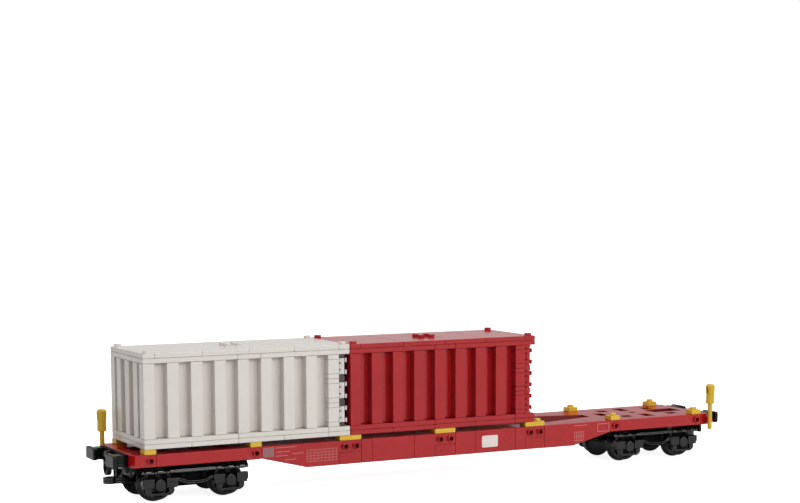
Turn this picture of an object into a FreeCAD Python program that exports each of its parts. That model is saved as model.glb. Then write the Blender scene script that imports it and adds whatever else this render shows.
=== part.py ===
import FreeCAD, Part
import os
import Sketcher

# A toy container flatcar on an 8 mm stud grid: frame, two bogies, four wheelsets, two containers.
# X runs along the wagon, Z is up, and the wheels stand on Z = 0 under the frame's centre.

doc = FreeCAD.newDocument("container_flatcar")
sheet = doc.addObject("Spreadsheet::Sheet", "sizes")

# alias, value in mm
sizes = [
    # the stud grid
    ("pitch", 8.0), ("plate", 3.2), ("knob_radius", 2.4), ("knob_rise", 1.7), ("bar_radius", 1.6),
    ("fit", 0.05), ("gap", 0.2),
    # frame
    ("frame_top", 32.8), ("thin_bottom", 24.8), ("deep_bottom", 16.8), ("half_width", 32.0),
    ("sill_wall", 8.0), ("sill_end", 219.2), ("wedge_outer", 136.0), ("wedge_inner", 104.0),
    ("deck_bottom", 26.4), ("well_straight", 88.0), ("well_end", 135.2), ("well_half", 18.0),
    ("well_tip", 6.0),
    ("beam_end", 224.0), ("beam_bevel_x", 222.2), ("beam_bevel_y", 28.0),
    # buffers and coupling
    ("buffer_y", 20.0), ("shank_length", 8.0), ("head_length", 3.2), ("head_half", 8.0),
    ("link_near", 228.2), ("link_half", 4.0), ("link_centre", 24.8), ("link_pitch", 8.0),
    ("guard_near", 220.9), ("guard_far", 222.9), ("guard_inner", 8.0), ("guard_outer", 24.0),
    ("guard_bottom", 18.0),
    # signal poles
    ("pole_x", 221.4), ("pole_y", 35.75), ("pole_bottom", 21.6), ("pole_neck", 40.6),
    ("pole_waist", 47.6), ("waist_rise", 0.4), ("waist_radius", 2.95), ("pole_shoulder", 53.2),
    ("pole_top", 55.2), ("pole_radius", 3.45), ("collar_radius", 3.15), ("slot_low", 48.6), ("slot_high", 52.8),
    ("slot_half", 1.2), ("slot_depth", 1.2),
    ("clip_bottom", 26.8), ("clip_rise", 3.2), ("clip_radius", 2.4), ("clip_mouth", 0.3),
    # mounts and hollow studs
    ("mount_y", 28.0), ("block_depth", 3.2), ("block_set", 0.4), ("ring_reach", 1.4),
    ("ring_bore", 1.55), ("ring_sink", 4.0), ("ring_z", 28.8),
    # bogies
    ("bogie_x", 180.0), ("bolster_bottom", 23.4), ("strip_bottom", 24.0), ("bolster_half", 8.0),
    ("strip_inner", 24.0), ("strip_outer", 28.0), ("strip_from", 136.0), ("strip_to", 208.0),
    ("centre_top", 23.0), ("centre_bottom", 19.8), ("spine_half", 13.0), ("end_from", 34.0),
    ("end_to", 37.6), ("end_half", 25.0), ("end_round", 3.0),
    ("keel_x", 10.4), ("keel_y", 20.0), ("keel_bottom", 9.4),
    ("pin_radius", 2.4), ("pin_bottom", 19.4),
    ("side_inner", 23.6), ("side_outer", 28.0), ("rail_outer", 25.4), ("side_half", 36.0),
    ("side_top", 18.4), ("block_top", 16.4), ("block_bottom", 10.2), ("block_far", 12.0),
    ("block_near", 4.0),
    ("box_half", 3.7), ("box_top", 16.5), ("box_eaves", 14.6), ("box_bottom", 8.1), ("box_cut", 2.0),
    ("box_face", 28.4),
    ("yoke_half", 9.4), ("yoke_slot", 5.6), ("yoke_bottom", 5.2), ("yoke_floor", 7.0),
    ("yoke_shoulder", 7.8), ("yoke_inner", 24.6), ("yoke_outer", 27.2),
    ("truss_from", 12.0), ("truss_knee", 5.6), ("truss_high", 16.4), ("truss_low", 13.7),
    ("truss_thick", 1.9), ("truss_inner", 24.4), ("truss_outer", 27.4),
    ("rod_y", 26.2), ("rod_z", 20.4), ("rod_radius", 1.1), ("rod_half", 36.4), ("band_z", 20.0),
    ("band_radius", 1.6),
    ("bar_top", 15.4), ("bar_bottom", 11.4), ("bar_half", 4.4), ("bar_from", 30.4), ("ring_x", 48.4),
    ("ring_hole", 2.4), ("hanger_to", 33.6),
    # wheelsets
    ("axle_x", 24.0), ("axle_z", 12.0), ("axle_radius", 1.6), ("axle_half", 27.0),
    ("flange_radius", 12.0), ("tread_radius", 10.4), ("flange_inner", 13.6), ("flange_outer", 15.4),
    ("tread_outer", 21.6), ("hub_radius", 3.4), ("dish_radius", 8.4), ("dish_depth", 1.6),
    # containers
    ("box_length", 144.0), ("base_rise", 6.4), ("wall_rise", 48.0), ("panel", 1.6), ("post", 8.0),
    ("rib_depth", 6.4), ("socket_depth", 1.9),
    ("corner_knob", 8.5),
    ("leaf_back", 0.3), ("leaf_thick", 3.2), ("leaf_gap", 0.4), ("leaf_edge", 24.6), ("leaf_play", 0.4),
    ("hinge_x", 2.9), ("hinge_y", 29.1), ("hinge_bar", 1.6), ("arm_rise", 4.6), ("arm_reach", 4.0),
    ("arm_inner", 26.6), ("knuckle_rise", 11.0), ("knuckle_radius", 2.5), ("finger_rise", 3.0),
    ("finger_reach", 6.2), ("finger_half", 1.2),
]
for row, (alias, value) in enumerate(sizes, 1):
    sheet.set(f"A{row}", alias)
    sheet.set(f"B{row}", str(value))
    sheet.setAlias(f"B{row}", alias)
doc.recompute()
value_of = dict(sizes)


def linked(text):
    # Writes an expression of bare size names as one that reads them from the sheet.
    words = []
    word = ""
    for letter in text + " ":
        if letter.isalnum() or letter == "_":
            word += letter
            continue
        words.append("sizes." + word if word in value_of else word)
        words.append(letter)
        word = ""
    return "".join(words).strip()


counter = {"made": 0}


def fresh(kind, stem):
    counter["made"] += 1
    return doc.addObject(kind, f"{stem}_{counter['made']}")


def place(solid, x, y, z, rotation=None):
    if rotation:
        solid.Placement = FreeCAD.Placement(FreeCAD.Vector(0, 0, 0), rotation)
    for axis, text in (("x", x), ("y", y), ("z", z)):
        solid.setExpression(f".Placement.Base.{axis}", linked(text))
    return solid


def block(x, y, z):
    # A box between two expressions on each axis.
    solid = fresh("Part::Box", "block")
    for side, (low, high) in (("Length", x), ("Width", y), ("Height", z)):
        solid.setExpression(side, linked(f"({high}) - ({low})"))
    return place(solid, x[0], y[0], z[0])


turned = {
    "x": FreeCAD.Rotation(FreeCAD.Vector(0, 1, 0), 90),
    "y": FreeCAD.Rotation(FreeCAD.Vector(1, 0, 0), -90),
    "z": None,
}


def round_bar(axis, span, across, radius):
    # A cylinder along an axis: its span on that axis, its centre on the other two in order.
    solid = fresh("Part::Cylinder", "round")
    solid.setExpression("Radius", linked(radius))
    solid.setExpression("Height", linked(f"({span[1]}) - ({span[0]})"))
    centre = list(across)
    centre.insert("xyz".index(axis), span[0])
    return place(solid, *centre, rotation=turned[axis])


def cone(axis, span, across, radii):
    solid = fresh("Part::Cone", "cone")
    solid.setExpression("Radius1", linked(radii[0]))
    solid.setExpression("Radius2", linked(radii[1]))
    solid.setExpression("Height", linked(f"({span[1]}) - ({span[0]})"))
    centre = list(across)
    centre.insert("xyz".index(axis), span[0])
    return place(solid, *centre, rotation=turned[axis])


planes = {"xy": "XY_Plane", "xz": "XZ_Plane"}


def prism(plane, points, start, length):
    # A padded sketch: its corners are pairs of expressions on the plane's two axes.
    body = fresh("PartDesign::Body", "body")
    sketch = body.newObject("Sketcher::SketchObject", body.Name + "_sketch")
    origin = [each for each in body.Origin.OriginFeatures if each.Role == planes[plane]][0]
    sketch.AttachmentSupport = [(origin, "")]
    sketch.MapMode = "FlatFace"
    at = []
    for pair in points:
        at.append([sheet_value(text) for text in pair])
    for index, here in enumerate(at):
        there = at[(index + 1) % len(at)]
        line = Part.LineSegment(FreeCAD.Vector(*here, 0), FreeCAD.Vector(*there, 0))
        sketch.addGeometry(line, False)
    for index in range(len(at)):
        following = (index + 1) % len(at)
        sketch.addConstraint(Sketcher.Constraint("Coincident", index, 2, following, 1))
    for index, pair in enumerate(points):
        for kind, text, number in (("DistanceX", pair[0], at[index][0]),
                                   ("DistanceY", pair[1], at[index][1])):
            bound = sketch.addConstraint(Sketcher.Constraint(kind, -1, 1, index, 1, number))
            sketch.setExpression(f"Constraints[{bound}]", linked(text))
    pad = body.newObject("PartDesign::Pad", body.Name + "_pad")
    pad.Profile = sketch
    pad.setExpression("Length", linked(length))
    pad.Reversed = plane == "xz"
    sketch.Visibility = False
    axis = "z" if plane == "xy" else "y"
    body.setExpression(f".Placement.Base.{axis}", linked(start))
    return body


def sheet_value(text):
    # The number that an expression of size names gives, for a sketch's first geometry.
    cell = fresh("App::FeaturePython", "value")
    cell.addProperty("App::PropertyFloat", "number")
    cell.setExpression("number", linked(text))
    cell.recompute()
    number = cell.number
    doc.removeObject(cell.Name)
    return number


def joined(pieces):
    if len(pieces) == 1:
        return pieces[0]
    whole = fresh("Part::MultiFuse", "joined")
    whole.Shapes = pieces
    whole.Refine = True
    return whole


def cut(base, tools):
    whole = fresh("Part::Cut", "cut")
    whole.Base = base
    whole.Tool = joined(tools)
    whole.Refine = True
    return whole


nodes = []


def node(name, pieces):
    # Names one sub-part: a single solid, or like solids that don't touch.
    if len(pieces) == 1:
        whole = pieces[0]
    else:
        whole = fresh("Part::Compound", "group")
        whole.Links = pieces
    whole.Label = name
    nodes.append(whole)
    return whole


def mirrored(sign, low, high):
    # A span on the side of an axis that the sign gives.
    return (low, high) if sign > 0 else (f"-({high})", f"-({low})")


ends = {"left": -1, "right": 1}
flanks = {"near": -1, "far": 1}

# ---------------------------------------------------------------- side sills with their hollow studs
# centre of a stud block and its length, in studs
stud_blocks = [(-26.5, 1), (-17.5, 1), (-9, 2), (0, 2), (9, 2), (17.5, 1), (26.5, 1)]
sill_profile = [
    ("-wedge_outer", "thin_bottom"), ("-wedge_inner", "deep_bottom"), ("wedge_inner", "deep_bottom"),
    ("wedge_outer", "thin_bottom"), ("wedge_outer", "frame_top"), ("-wedge_outer", "frame_top"),
]
for flank, sign in flanks.items():
    start = "half_width - sill_wall" if sign > 0 else "-half_width"
    sill = prism("xz", sill_profile, start, "sill_wall")
    wall = mirrored(sign, "half_width - sill_wall", "half_width")
    pockets = []
    end_pockets = {"left": [], "right": []}
    blocks = []
    for centre, studs in stud_blocks:
        x = (f"({centre} - {studs} / 2) * pitch", f"({centre} + {studs} / 2) * pitch")
        deep = mirrored(sign, "half_width - block_depth", "half_width + 1")
        face = mirrored(sign, "half_width - block_depth", "half_width - block_set")
        pocket = block(x, deep, ("thin_bottom", "frame_top"))
        if abs(centre) * value_of["pitch"] < value_of["wedge_outer"]:
            pockets.append(pocket)
        else:
            end_pockets["right" if centre > 0 else "left"].append(pocket)
        body = [block(x, face, ("thin_bottom", "frame_top"))]
        bores = []
        for step in range(studs):
            stud_x = f"({centre} + {step} - ({studs} - 1) / 2) * pitch"
            ring = mirrored(sign, "half_width - block_set", "half_width + ring_reach")
            bore = mirrored(sign, "half_width + ring_reach - ring_sink", "half_width + ring_reach + 1")
            body.append(round_bar("y", ring, (stud_x, "ring_z"), "knob_radius"))
            bores.append(round_bar("y", bore, (stud_x, "ring_z"), "ring_bore"))
        blocks.append(cut(joined(body), bores))
    # the pockets are open at the face only, so the sill stays whole behind each block
    node(f"sill_{flank}", [cut(sill, pockets)])
    tips = []
    for end, way in ends.items():
        tip = block(mirrored(way, "wedge_outer", "sill_end"), wall, ("thin_bottom", "frame_top"))
        tips.append(cut(tip, end_pockets[end]))
    node(f"sill_ends_{flank}", tips)
    node(f"stud_blocks_{flank}", blocks)

# ---------------------------------------------------------------- end decks, well rails, bolsters
# opening in a deck: from and to along the wagon and across it
deck_openings = [
    (156, 164, 12, 20), (156, 164, -20, -12),
    (173.4, 181.2, 10, 23), (173.4, 181.2, -23, -10),
    (196, 204, 12, 20), (196, 204, -20, -12),
    (144.8, 152.6, -6.5, 6.5), (174, 178.8, -2.4, 2.4), (192, 216, -7.5, 7.5),
]
for end, sign in ends.items():
    slab = block(mirrored(sign, "well_straight", "sill_end"),
                 ("sill_wall - half_width", "half_width - sill_wall"), ("deck_bottom", "frame_top"))
    taper = [(f"{sign} * (well_straight - 1)", "-well_half"), (f"{sign} * well_end", "-well_tip"),
             (f"{sign} * well_end", "well_tip"), (f"{sign} * (well_straight - 1)", "well_half")]
    openings = [prism("xy", taper, "deck_bottom - 1", "frame_top - deck_bottom + 2")]
    through = ("deck_bottom - 1", "frame_top + 1")
    for x0, x1, y0, y1 in deck_openings:
        openings.append(block(mirrored(sign, str(x0), str(x1)), (str(y0), str(y1)), through))
    node(f"deck_{end}", [cut(slab, openings)])

rails = []
for sign in flanks.values():
    rails.append(block(("-well_straight", "well_straight"),
                       mirrored(sign, "well_half", "half_width - sill_wall"), ("deck_bottom", "frame_top")))
node("well_rails", rails)

bolsters = []
beams = []
for sign in ends.values():
    centre = f"{sign} * bogie_x"
    along = (f"{centre} - bolster_half", f"{centre} + bolster_half")
    pieces = [block(along, ("-strip_outer", "strip_outer"), ("bolster_bottom", "thin_bottom")),
              block(along, ("-strip_inner", "strip_inner"), ("thin_bottom", "deck_bottom"))]
    for flank in flanks.values():
        pieces.append(block(mirrored(sign, "strip_from", "strip_to"),
                            mirrored(flank, "strip_inner", "strip_outer"), ("strip_bottom", "thin_bottom")))
    pieces.append(round_bar("z", ("pin_bottom", "bolster_bottom"), (centre, "0"), "pin_radius"))
    bolsters.append(joined(pieces))
    outline = [(f"{sign} * sill_end", "-half_width"), (f"{sign} * beam_bevel_x", "-half_width"),
               (f"{sign} * beam_end", "-beam_bevel_y"), (f"{sign} * beam_end", "beam_bevel_y"),
               (f"{sign} * beam_bevel_x", "half_width"), (f"{sign} * sill_end", "half_width")]
    beams.append(prism("xy", outline, "thin_bottom", "frame_top - thin_bottom"))
node("bolsters", bolsters)
node("end_beams", beams)

# ---------------------------------------------------------------- buffers, links, guards, poles
buffers = []
links = []
guards = []
poles = []
clips = []
for sign in ends.values():
    for flank in flanks.values():
        centre = f"{flank} * buffer_y"
        shank = block(mirrored(sign, "beam_end", "beam_end + shank_length"),
                      (f"{centre} - pitch / 2", f"{centre} + pitch / 2"),
                      ("thin_bottom + gap", "frame_top - gap"))
        head_x = mirrored(sign, "beam_end + shank_length", "beam_end + shank_length + head_length")
        head = block(head_x, (f"{centre} - head_half", f"{centre} + head_half"), ("thin_bottom", "frame_top"))
        buffers.append(joined([shank, head]))
        guards.append(block(mirrored(sign, "guard_near", "guard_far"),
                            mirrored(flank, "guard_inner", "guard_outer"), ("guard_bottom", "thin_bottom")))
    x = mirrored(sign, "link_near", "link_near + plate")
    upper = "link_centre + link_pitch / 2"
    lower = "link_centre - link_pitch / 2"
    link = [block(x, ("-link_half", "link_half"), (lower, upper))]
    holes = []
    for z in (lower, upper):
        link.append(round_bar("x", x, ("0", z), "link_half"))
    holes.append(round_bar("x", x, ("0", lower), "knob_radius"))
    holed = cut(joined(link), holes)
    peg = round_bar("x", mirrored(sign, "beam_end", "link_near + plate"), ("0", upper), "knob_radius")
    links.append(joined([holed, peg]))
    # a pole stands at one corner of each end, on opposite sides of the wagon
    y = f"{-sign} * pole_y"
    pole_x = f"{sign} * pole_x"
    pole = [round_bar("z", ("pole_bottom", "pole_neck"), (pole_x, y), "bar_radius"),
            round_bar("z", ("pole_neck", "pole_waist"), (pole_x, y), "collar_radius"),
            round_bar("z", ("pole_waist", "pole_waist + waist_rise"), (pole_x, y), "waist_radius"),
            round_bar("z", ("pole_waist + waist_rise", "pole_shoulder"), (pole_x, y), "pole_radius"),
            cone("z", ("pole_shoulder", "pole_top"), (pole_x, y), ("pole_radius", "bar_radius"))]
    # a slot on the two sides of the head that face along the wagon
    slots = []
    for way in (-1, 1):
        shallow = f"{pole_x} + {way} * (pole_radius - slot_depth)"
        beyond = f"{pole_x} + {way} * (pole_radius + 1)"
        slots.append(block((shallow, beyond) if way > 0 else (beyond, shallow),
                           (f"{y} - slot_half", f"{y} + slot_half"), ("slot_low", "slot_high")))
    poles.append(cut(joined(pole), slots))
    height = ("clip_bottom", "clip_bottom + clip_rise")
    jaw = round_bar("z", height, (pole_x, y), "clip_radius")
    stem = block((f"{pole_x} - bar_radius", f"{pole_x} + bar_radius"),
                 mirrored(-sign, "half_width", "pole_y"), height)
    bore = round_bar("z", height, (pole_x, y), "bar_radius")
    # the jaw is open on the side away from the wagon
    mouth = block((f"{pole_x} - pitch / 2", f"{pole_x} + pitch / 2"),
                  mirrored(-sign, "pole_y + clip_mouth", "pole_y + pitch"), height)
    clips.append(cut(joined([jaw, stem]), [bore, mouth]))
node("buffers", buffers)
node("coupling_links", links)
node("beam_guards", guards)
node("poles", poles)
node("pole_clips", clips)

# ---------------------------------------------------------------- container mounts
single_mounts = []
for x in (-26.5, -17.5, 17.5, 26.5):
    for flank in flanks.values():
        centre = (f"{x} * pitch", f"{flank} * mount_y")
        base = block((f"{centre[0]} - pitch / 2", f"{centre[0]} + pitch / 2"),
                     (f"{centre[1]} - pitch / 2", f"{centre[1]} + pitch / 2"),
                     ("frame_top", "frame_top + plate"))
        knob = round_bar("z", ("frame_top + plate", "frame_top + plate + knob_rise"), centre, "knob_radius")
        single_mounts.append(joined([base, knob]))
node("mounts_single", single_mounts)
double_mounts = []
for x in (-9, 0, 9):
    for flank in flanks.values():
        centre = (f"{x} * pitch", f"{flank} * mount_y")
        pieces = [block((f"{centre[0]} - pitch", f"{centre[0]} + pitch"),
                        (f"{centre[1]} - pitch / 2", f"{centre[1]} + pitch / 2"),
                        ("frame_top", "frame_top + plate"))]
        for step in (-0.5, 0.5):
            pieces.append(round_bar("z", ("frame_top + plate", "frame_top + plate + knob_rise"),
                                    (f"{centre[0]} + {step} * pitch", centre[1]), "knob_radius"))
        double_mounts.append(joined(pieces))
node("mounts_double", double_mounts)

# ---------------------------------------------------------------- bogies
# axle box front, a house shape with cut lower corners
box_outline = [("-box_half", "box_bottom + box_cut"), ("-box_half + box_cut", "box_bottom"),
               ("box_half - box_cut", "box_bottom"), ("box_half", "box_bottom + box_cut"),
               ("box_half", "box_eaves"), ("0.2", "box_top"), ("-0.2", "box_top"), ("-box_half", "box_eaves")]
truss_outline = [("-truss_from", "truss_high"), ("-truss_knee", "truss_low"), ("truss_knee", "truss_low"),
                 ("truss_from", "truss_high"), ("truss_from", "truss_high - truss_thick"),
                 ("truss_knee", "truss_low - truss_thick"), ("-truss_knee", "truss_low - truss_thick"),
                 ("-truss_from", "truss_high - truss_thick")]
# yoke under an axle box: rounded lower corners, and a slot in which the axle box sits
yoke_outline = [("-yoke_half", "block_bottom"), ("-yoke_half", "yoke_shoulder"),
                ("-yoke_half + 0.9", "yoke_shoulder - 1.5"), ("-yoke_half + 3", "yoke_bottom"),
                ("yoke_half - 3", "yoke_bottom"), ("yoke_half - 0.9", "yoke_shoulder - 1.5"),
                ("yoke_half", "yoke_shoulder"), ("yoke_half", "block_bottom"),
                ("yoke_slot", "block_bottom"), ("yoke_slot", "yoke_floor"), ("-yoke_slot", "yoke_floor"),
                ("-yoke_slot", "block_bottom")]
# band round a rod: from and to along the bogie, on both sides of its centre
rod_bands = [(14.2, 17.8), (22.0, 28.0), (30.1, 34.0)]
for end, sign in ends.items():
    centre = f"{sign} * bogie_x"
    # centre plate: a spine, a bolster to the sides, a keel between the axles, a rounded plate at each end
    z = ("centre_bottom", "centre_top")
    plate_pieces = [block((f"{centre} - end_from", f"{centre} + end_from"), ("-spine_half", "spine_half"), z),
                    block((f"{centre} - bolster_half", f"{centre} + bolster_half"),
                          ("-side_inner", "side_inner"), z),
                    block((f"{centre} - keel_x", f"{centre} + keel_x"), ("-keel_y", "keel_y"),
                          ("keel_bottom", "centre_bottom"))]
    for way in (-1, 1):
        near = f"{centre} + {way} * end_from"
        far = f"{centre} + {way} * end_to"
        plate_pieces.append(block((near, far) if way > 0 else (far, near),
                                  ("end_round - end_half", "end_half - end_round"), z))
        rounded = f"{centre} + {way} * (end_to - end_round)"
        span = (near, rounded) if way > 0 else (rounded, near)
        for flank in flanks.values():
            plate_pieces.append(block(span, mirrored(flank, "end_half - end_round", "end_half"), z))
            corner = (rounded, f"{flank} * (end_half - end_round)")
            plate_pieces.append(round_bar("z", z, corner, "end_round"))
    bore = round_bar("z", ("pin_bottom - 0.4", "centre_top + 1"), (centre, "0"), "pin_radius + fit")
    node(f"bogie_{end}_plate", [cut(joined(plate_pieces), [bore])])
    # drawbar: a flat bar with a ring, hung from the plate by a block
    out = f"{sign} * (bogie_x + ring_x)"
    bar = [block(mirrored(sign, "bogie_x + bar_from", "bogie_x + ring_x"), ("-bar_half", "bar_half"),
                 ("bar_bottom", "bar_top")),
           round_bar("z", ("bar_bottom", "bar_top"), (out, "0"), "bar_half"),
           block(mirrored(sign, "bogie_x + bar_from", "bogie_x + hanger_to"), ("-bar_half", "bar_half"),
                 ("bar_top", "centre_bottom"))]
    eye = round_bar("z", ("bar_bottom - 1", "bar_top + 1"), (out, "0"), "ring_hole")
    node(f"bogie_{end}_drawbar", [cut(joined(bar), [eye])])
    sides = []
    boxes = []
    trusses = []
    rods = []
    for flank in flanks.values():
        y = mirrored(flank, "side_inner", "side_outer")
        # a thin rail joins the blocks, and a lug in its middle meets the bolster
        pieces = [block((f"{centre} - side_half", f"{centre} + side_half"),
                        mirrored(flank, "side_inner", "rail_outer"), ("block_top", "side_top")),
                  block((f"{centre} - bolster_half", f"{centre} + bolster_half"),
                        mirrored(flank, "side_inner", "side_inner + 1"), ("side_top", "centre_top"))]
        for axle in (-1, 1):
            axle_at = f"{centre} + {axle} * axle_x"
            for way in (-1, 1):
                near = f"{axle_at} + {way} * block_near"
                far = f"{axle_at} + {way} * block_far"
                span = (near, far) if way > 0 else (far, near)
                pieces.append(block(span, y, ("block_bottom", "block_top")))
            yoke_start = "yoke_inner" if flank > 0 else "-yoke_outer"
            shape = [(f"{axle_at} + ({x})", z) for x, z in yoke_outline]
            pieces.append(prism("xz", shape, yoke_start, "yoke_outer - yoke_inner"))
            box_start = "side_inner" if flank > 0 else "-box_face"
            shape = [(f"{axle_at} + ({x})", z) for x, z in box_outline]
            solid = prism("xz", shape, box_start, "box_face - side_inner")
            hole = round_bar("y", mirrored(flank, "side_inner - 1", "axle_half + gap"),
                             (axle_at, "axle_z"), "axle_radius + fit")
            boxes.append(cut(solid, [hole]))
        sides.append(joined(pieces))
        truss_start = "truss_inner" if flank > 0 else "-truss_outer"
        shape = [(f"{centre} + ({x})", z) for x, z in truss_outline]
        trusses.append(prism("xz", shape, truss_start, "truss_outer - truss_inner"))
        rod = [round_bar("x", (f"{centre} - rod_half", f"{centre} + rod_half"),
                         (f"{flank} * rod_y", "rod_z"), "rod_radius")]
        for low, high in rod_bands:
            for way in (-1, 1):
                first, last = mirrored(way, str(low), str(high))
                rod.append(round_bar("x", (f"{centre} + {first}", f"{centre} + {last}"),
                                     (f"{flank} * rod_y", "band_z"), "band_radius"))
        rods.append(joined(rod))
    node(f"bogie_{end}_sides", sides)
    node(f"bogie_{end}_axle_boxes", boxes)
    node(f"bogie_{end}_trusses", trusses)
    node(f"bogie_{end}_rods", rods)

# ---------------------------------------------------------------- wheelsets
wheelsets = [("left_outer", -1, -1), ("left_inner", -1, 1), ("right_inner", 1, -1), ("right_outer", 1, 1)]
for name, sign, axle in wheelsets:
    centre = (f"{sign} * bogie_x + {axle} * axle_x", "axle_z")
    node(f"axle_{name}", [round_bar("y", ("-axle_half", "axle_half"), centre, "axle_radius")])
    wheels = []
    for flank in flanks.values():
        rim = [round_bar("y", mirrored(flank, "flange_inner", "flange_outer"), centre, "flange_radius"),
               round_bar("y", mirrored(flank, "flange_outer", "tread_outer"), centre, "tread_radius")]
        hollow = round_bar("y", mirrored(flank, "tread_outer - dish_depth", "tread_outer + 1"), centre,
                           "dish_radius")
        hub = round_bar("y", mirrored(flank, "flange_inner", "tread_outer + gap"), centre, "hub_radius")
        bore = round_bar("y", mirrored(flank, "flange_inner - 1", "tread_outer + 1"), centre, "axle_radius")
        wheels.append(cut(joined([cut(joined(rim), [hollow]), hub]), [bore]))
    node(f"wheels_{name}", wheels)

# ---------------------------------------------------------------- containers
# name, centre in studs, studs under it that its base sits on
containers = [("grey", -18, (-26.5, -17.5, -9.5)), ("red", 0, (-8.5, -0.5, 0.5, 8.5))]
end_ribs = [(-20, -12), (-4, 4), (12, 20)]
for name, middle, studs in containers:
    centre = f"{middle} * pitch"
    low = f"{centre} - box_length / 2 + gap"
    high = f"{centre} + box_length / 2 - gap"
    door = f"{centre} + box_length / 2 - post"
    floor = "frame_top + plate"
    sill = f"{floor} + base_rise"
    head = f"{sill} + wall_rise"
    top = f"{head} + base_rise"
    inner = "half_width - post"
    sockets = []
    for stud in studs:
        for flank in flanks.values():
            along = (f"{stud} * pitch - knob_radius - fit", f"{stud} * pitch + knob_radius + fit")
            across = (f"{flank} * mount_y - knob_radius - fit", f"{flank} * mount_y + knob_radius + fit")
            sockets.append(block(along, across, (f"{floor} - 1", f"{floor} + socket_depth")))
    slab = block((low, high), ("gap - half_width", "half_width - gap"), (floor, sill))
    node(f"container_{name}_base", [cut(slab, sockets)])
    knobs = [block((low, high), ("gap - half_width", "half_width - gap"), (head, top))]
    for x in (f"{centre} - corner_knob * pitch", f"{centre} + corner_knob * pitch"):
        for flank in flanks.values():
            knobs.append(round_bar("z", (top, f"{top} + knob_rise"), (x, f"{flank} * mount_y"),
                                   "knob_radius"))
    for x in (-0.5, 0.5):
        for y in (-0.5, 0.5):
            knobs.append(round_bar("z", (top, f"{top} + knob_rise"),
                                   (f"{centre} + {x} * pitch", f"{y} * pitch"), "knob_radius"))
    node(f"container_{name}_roof", [joined(knobs)])
    for flank_name, flank in flanks.items():
        outer = mirrored(flank, f"{inner}", "half_width - gap")
        wall = [block((low, door), mirrored(flank, inner, f"{inner} + panel"), (sill, head)),
                block((low, f"{low} + post - gap"), outer, (sill, head)),
                block((f"{door} - post", door), outer, (sill, head))]
        for rib in range(7):
            x0 = f"{centre} - box_length / 2 + (2 + 2 * {rib}) * pitch"
            wall.append(block((x0, f"{x0} + pitch"), outer, (sill, head)))
        node(f"container_{name}_wall_{flank_name}", [joined(wall)])
    back = [block((f"{low} + rib_depth - gap", f"{low} + post - gap"), (f"-({inner})", inner), (sill, head))]
    for y0, y1 in end_ribs:
        back.append(block((low, f"{low} + post - gap"), (str(y0), str(y1)), (sill, head)))
    node(f"container_{name}_end_wall", [joined(back)])
    # hinge bars on the door posts: arms at every second stud of height and a bar through them
    bars = []
    for flank in flanks.values():
        axis = (f"{door} + hinge_x", f"{flank} * hinge_y")
        pieces = [round_bar("z", (sill, head), axis, "hinge_bar")]
        for step in range(4):
            middle_z = f"{sill} + {step} * 2 * pitch"
            bottom = middle_z if step == 0 else f"{middle_z} - arm_rise / 2"
            cap = middle_z if step == 3 else f"{middle_z} + arm_rise / 2"
            pieces.append(block((door, f"{door} + arm_reach"),
                                mirrored(flank, "arm_inner", "half_width - gap"), (bottom, cap)))
        bars.append(joined(pieces))
    node(f"container_{name}_hinge_bars", bars)
    for flank_name, flank in flanks.items():
        axis = (f"{door} + hinge_x", f"{flank} * hinge_y")
        board = (f"{door} + leaf_back", f"{door} + leaf_back + leaf_thick")
        leaf = [block(board, mirrored(flank, "leaf_gap", "leaf_edge"),
                      (f"{sill} + leaf_play", f"{head} - leaf_play"))]
        for step in range(3):
            middle_z = f"{sill} + (1 + 2 * {step}) * pitch"
            z = (f"{middle_z} - knuckle_rise / 2", f"{middle_z} + knuckle_rise / 2")
            leaf.append(round_bar("z", z, axis, "knuckle_radius"))
            leaf.append(block(board, mirrored(flank, "leaf_edge - 1", "hinge_y"), z))
            for way in (-1, 1):
                mid = f"{middle_z} + {way} * pitch / 2"
                leaf.append(block((axis[0], f"{door} + finger_reach"),
                                  mirrored(flank, "hinge_y - finger_half", "hinge_y + finger_half"),
                                  (f"{mid} - finger_rise / 2", f"{mid} + finger_rise / 2")))
        bore = round_bar("z", (sill, head), axis, "hinge_bar + fit")
        node(f"container_{name}_door_{flank_name}", [cut(joined(leaf), [bore])])

doc.recompute()
for each in doc.Objects:
    if "Invalid" in each.State or "Error" in each.State:
        raise RuntimeError(f"{each.Label} ({each.Name}) failed: {each.State}")
for each in nodes:
    if each.Shape.isNull() or not each.Shape.isValid():
        raise RuntimeError(f"{each.Label} has no valid shape")
os.makedirs("parts", exist_ok=True)
for each in nodes:
    each.Shape.exportStep(f"parts/{each.Label}.step")
    bounds = each.Shape.BoundBox
    print(f"{each.Label}: {len(each.Shape.Solids)} solids, {each.Shape.Volume:.0f} mm3,"
          f" x {bounds.XMin:.1f} {bounds.XMax:.1f} y {bounds.YMin:.1f} {bounds.YMax:.1f}"
          f" z {bounds.ZMin:.1f} {bounds.ZMax:.1f}")
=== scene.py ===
import math
import bpy
import bmesh
import numpy as np
from mathutils import Matrix, Vector


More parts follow.
